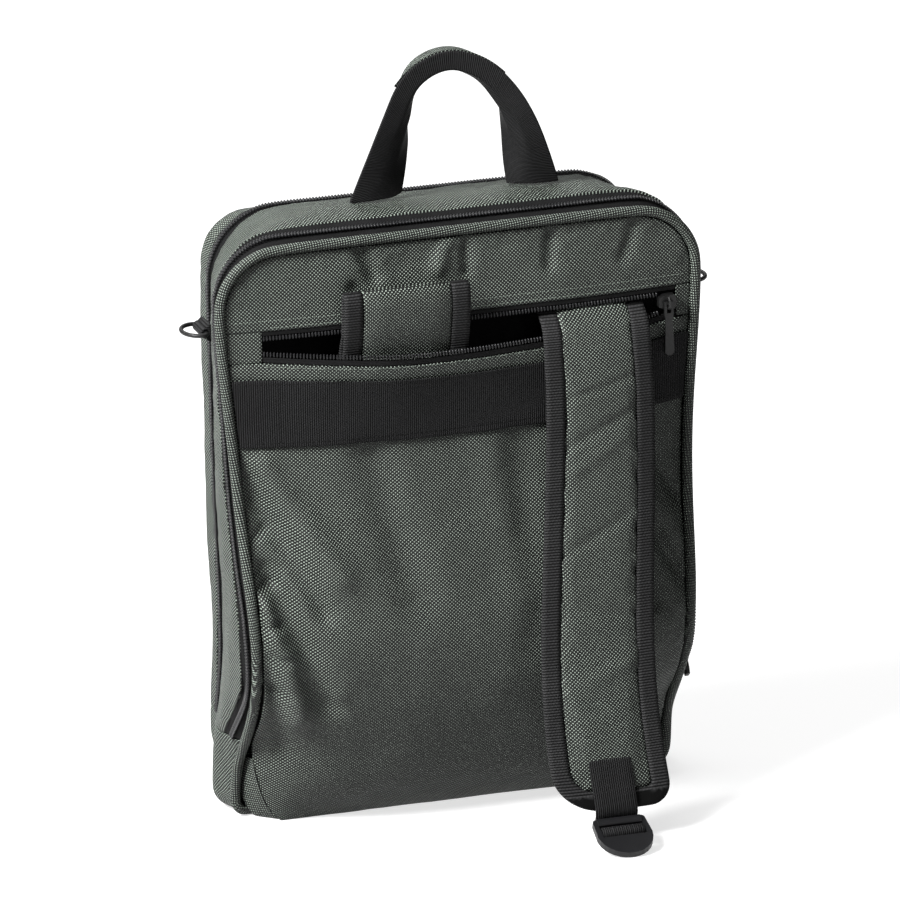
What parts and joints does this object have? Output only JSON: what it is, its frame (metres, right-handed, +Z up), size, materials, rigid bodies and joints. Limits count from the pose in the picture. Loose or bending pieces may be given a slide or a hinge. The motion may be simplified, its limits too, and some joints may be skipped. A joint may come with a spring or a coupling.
{
  "type": "convertible backpack",
  "caption": "Woven nylon convertible backpack with stowable shoulder straps, a zipped back pocket, a webbing carrying handle and side rings.",
  "frame": {"origin": "on the floor, under the middle of the bag, on its flat base", "axes": "+Z up, -Y towards the wearer (the side with the straps), +X to the right seen from that side"},
  "size_m": [0.3338, 0.2313, 0.473],
  "materials": {
    "green_cloth": "woven, matt",
    "black_webbing": "ribbed webbing",
    "black_tape": "fine tape",
    "black_plastic": "satin",
    "black_metal": "satin black"
  },
  "bodies": {
    "bag": {"piping": "green_cloth", "middle_gusset": "green_cloth", "front_gusset": "green_cloth", "base_panel": "green_cloth", "lower_panel": "green_cloth", "upper_panel": "green_cloth", "toe_panel": "green_cloth", "front_panel": "green_cloth", "left_mouth_patch": "green_cloth", "right_mouth_patch": "green_cloth", "strap_pad": "green_cloth", "stowed_pad": "green_cloth", "handle_facing": "green_cloth", "left_ring_tab": "black_webbing", "right_ring_tab": "black_webbing", "panel_webbing": "black_webbing", "strap_binding": "black_webbing", "strap_tab": "black_webbing", "stowed_binding_left": "black_webbing", "stowed_binding_right": "black_webbing", "handle_webbing": "black_webbing", "main_zip_tape": "black_tape", "front_zip_tape": "black_tape", "pocket_zip_upper_tape": "black_tape", "pocket_zip_lower_tape": "black_tape", "pocket_lining": "black_tape", "main_zip_coil": "black_plastic", "front_zip_coil": "black_plastic", "pocket_zip_upper_teeth": "black_plastic", "pocket_zip_lower_teeth": "black_plastic", "buckle": "black_plastic", "pocket_zip_slider": "black_metal", "main_zip_slider": "black_metal", "front_zip_slider": "black_metal"},
    "pocket_zip_pull": {"pocket_zip_pull": "black_metal"},
    "left_ring": {"left_ring": "black_metal"},
    "right_ring": {"right_ring": "black_metal"}
  },
  "joints": [
    {"name": "pocket_pull_swing", "type": "hinge", "parent": "bag", "child": "pocket_zip_pull", "pos_m": [0.1303, -0.05715, 0.31065], "axis": [-1, 0, 0], "range_deg": [0, 150]},
    {"name": "left_ring_swing", "type": "hinge", "parent": "bag", "child": "left_ring", "pos_m": [-0.15278, -0.02, 0.315], "axis": [0, 1, 0], "range_deg": [-80, 80]},
    {"name": "right_ring_swing", "type": "hinge", "parent": "bag", "child": "right_ring", "pos_m": [0.15278, -0.02, 0.315], "axis": [0, 1, 0], "range_deg": [-80, 80]}
  ]
}
